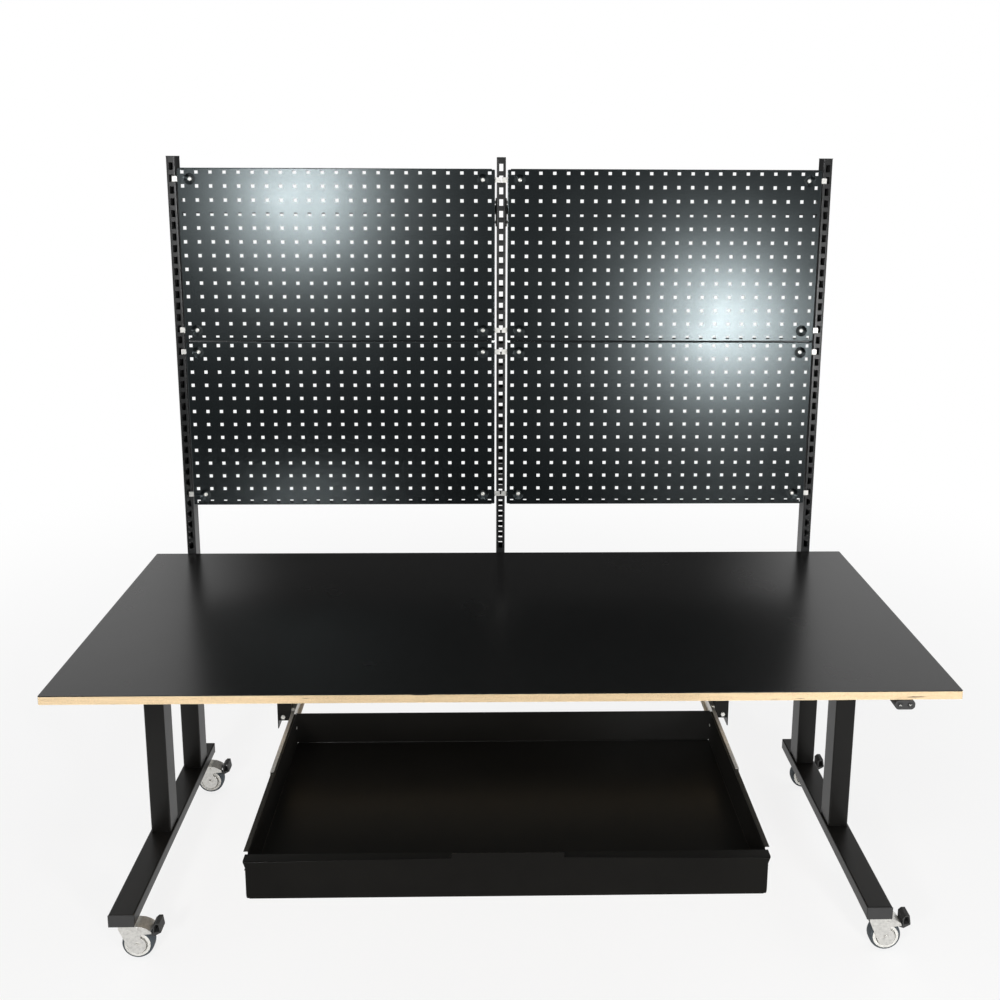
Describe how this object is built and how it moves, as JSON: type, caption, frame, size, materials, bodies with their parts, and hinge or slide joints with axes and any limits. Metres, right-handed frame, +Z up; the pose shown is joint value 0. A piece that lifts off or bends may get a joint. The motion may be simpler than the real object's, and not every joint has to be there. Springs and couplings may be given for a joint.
{
  "type": "assembly table",
  "caption": "Height-adjustable assembly table on swivel casters with a shallow drawer pulled out and perforated panels on slotted rear posts.",
  "frame": {"origin": "floor, under the centre of the overall box at rest", "axes": "+X to the right seen from the front, +Y from the front towards the posts, +Z up"},
  "size_m": [2, 1.292, 1.84],
  "materials": {
    "laminate": "satin black work surface",
    "plywood": "pale plywood edge, clear sealed",
    "black_steel": "black powder coat",
    "panel_steel": "slate grey powder coat, satin",
    "zinc_steel": "zinc-plated steel",
    "black_plastic": "black moulded plastic",
    "mark_plastic": "black keys with pale plain arrows",
    "hub_plastic": "off-white moulded plastic",
    "tread": "slate grey rubber tread"
  },
  "bodies": {
    "table": {"column_inner_tubes": "black_steel", "control_box": "black_plastic", "cross_bar_left": "black_steel", "cross_bar_right": "black_steel", "cross_bar_screws": "zinc_steel", "drawer_hanger_left": "black_steel", "drawer_hanger_right": "black_steel", "frame_front_rail": "black_steel", "frame_rear_rail": "black_steel", "frame_side_rails": "black_steel", "handset_housing": "black_plastic", "hanger_screws": "zinc_steel", "hook_brackets": "zinc_steel", "panel_lower_left": "panel_steel", "panel_lower_right": "panel_steel", "panel_screws": "zinc_steel", "panel_upper_left": "panel_steel", "panel_upper_right": "panel_steel", "post_bolts": "zinc_steel", "post_brackets": "black_steel", "post_caps": "black_plastic", "post_centre": "black_steel", "post_left": "black_steel", "post_right": "black_steel", "rail_caps": "black_plastic", "slide_outer_members": "zinc_steel", "worktop_core": "plywood", "worktop_laminate": "laminate"},
    "base_left": {"caster_plates_left": "zinc_steel", "column_outer_left": "black_steel", "foot_caps_left": "black_plastic", "foot_left": "black_steel"},
    "base_right": {"caster_plates_right": "zinc_steel", "column_outer_right": "black_steel", "foot_caps_right": "black_plastic", "foot_right": "black_steel"},
    "drawer": {"drawer_front": "black_steel", "drawer_rivets": "zinc_steel", "drawer_tray": "black_steel", "slide_inner_members": "zinc_steel"},
    "slide_middle": {"slide_middle_members": "zinc_steel"},
    "button_up": {"handset_button_up": "mark_plastic"},
    "button_down": {"handset_button_down": "mark_plastic"},
    "fork_front_left": {"caster_fork_front_left": "zinc_steel"},
    "fork_front_right": {"caster_fork_front_right": "zinc_steel"},
    "fork_rear_left": {"caster_fork_rear_left": "zinc_steel"},
    "fork_rear_right": {"caster_fork_rear_right": "zinc_steel"},
    "wheel_front_left": {"caster_hub_front_left": "hub_plastic", "caster_tyre_front_left": "tread"},
    "wheel_front_right": {"caster_hub_front_right": "hub_plastic", "caster_tyre_front_right": "tread"},
    "wheel_rear_left": {"caster_hub_rear_left": "hub_plastic", "caster_tyre_rear_left": "tread"},
    "wheel_rear_right": {"caster_hub_rear_right": "hub_plastic", "caster_tyre_rear_right": "tread"},
    "pedal_front_left": {"caster_pedal_front_left": "black_plastic"},
    "pedal_front_right": {"caster_pedal_front_right": "black_plastic"},
    "pedal_rear_left": {"caster_pedal_rear_left": "black_plastic"},
    "pedal_rear_right": {"caster_pedal_rear_right": "black_plastic"}
  },
  "joints": [
    {"name": "lift_left", "type": "slide", "parent": "table", "child": "base_left", "axis": [0, 0, -1], "range_m": [0, 0.4]},
    {"name": "lift_right", "type": "slide", "parent": "table", "child": "base_right", "axis": [0, 0, -1], "range_m": [0, 0.4]},
    {"name": "drawer_slide", "type": "slide", "parent": "table", "child": "drawer", "axis": [0, 1, 0], "range_m": [0, 0.466]},
    {"name": "slide_middle_run", "type": "slide", "parent": "table", "child": "slide_middle", "axis": [0, 1, 0], "range_m": [0, 0.233]},
    {"name": "press_up", "type": "slide", "parent": "table", "child": "button_up", "axis": [0, 1, 0], "range_m": [0, 0.001], "stiffness_N_per_m": 1500},
    {"name": "press_down", "type": "slide", "parent": "table", "child": "button_down", "axis": [0, 1, 0], "range_m": [0, 0.001], "stiffness_N_per_m": 1500},
    {"name": "swivel_front_left", "type": "hinge", "parent": "base_left", "child": "fork_front_left", "pos_m": [-0.875, -0.126, 0.087], "axis": [0, 0, 1], "continuous": true},
    {"name": "roll_front_left", "type": "hinge", "parent": "fork_front_left", "child": "wheel_front_left", "pos_m": [-0.849, -0.126, 0.0375], "axis": [0, 1, 0], "continuous": true},
    {"name": "brake_front_left", "type": "hinge", "parent": "fork_front_left", "child": "pedal_front_left", "pos_m": [-0.8455, -0.126, 0.0785], "axis": [0, 1, 0], "range_deg": [0, 10.5]},
    {"name": "swivel_front_right", "type": "hinge", "parent": "base_right", "child": "fork_front_right", "pos_m": [0.875, -0.126, 0.087], "axis": [0, 0, 1], "continuous": true},
    {"name": "roll_front_right", "type": "hinge", "parent": "fork_front_right", "child": "wheel_front_right", "pos_m": [0.901, -0.126, 0.0375], "axis": [0, 1, 0], "continuous": true},
    {"name": "brake_front_right", "type": "hinge", "parent": "fork_front_right", "child": "pedal_front_right", "pos_m": [0.9045, -0.126, 0.0785], "axis": [0, 1, 0], "range_deg": [0, 10.5]},
    {"name": "swivel_rear_left", "type": "hinge", "parent": "base_left", "child": "fork_rear_left", "pos_m": [-0.875, 0.504, 0.087], "axis": [0, 0, 1], "continuous": true},
    {"name": "roll_rear_left", "type": "hinge", "parent": "fork_rear_left", "child": "wheel_rear_left", "pos_m": [-0.849, 0.504, 0.0375], "axis": [0, 1, 0], "continuous": true},
    {"name": "brake_rear_left", "type": "hinge", "parent": "fork_rear_left", "child": "pedal_rear_left", "pos_m": [-0.8455, 0.504, 0.0785], "axis": [0, 1, 0], "range_deg": [0, 10.5]},
    {"name": "swivel_rear_right", "type": "hinge", "parent": "base_right", "child": "fork_rear_right", "pos_m": [0.875, 0.504, 0.087], "axis": [0, 0, 1], "continuous": true},
    {"name": "roll_rear_right", "type": "hinge", "parent": "fork_rear_right", "child": "wheel_rear_right", "pos_m": [0.901, 0.504, 0.0375], "axis": [0, 1, 0], "continuous": true},
    {"name": "brake_rear_right", "type": "hinge", "parent": "fork_rear_right", "child": "pedal_rear_right", "pos_m": [0.9045, 0.504, 0.0785], "axis": [0, 1, 0], "range_deg": [0, 10.5]}
  ],
  "couplings": [
    {"joint": "lift_right", "follows": "lift_left", "ratio": 1},
    {"joint": "slide_middle_run", "follows": "drawer_slide", "ratio": 0.5}
  ]
}
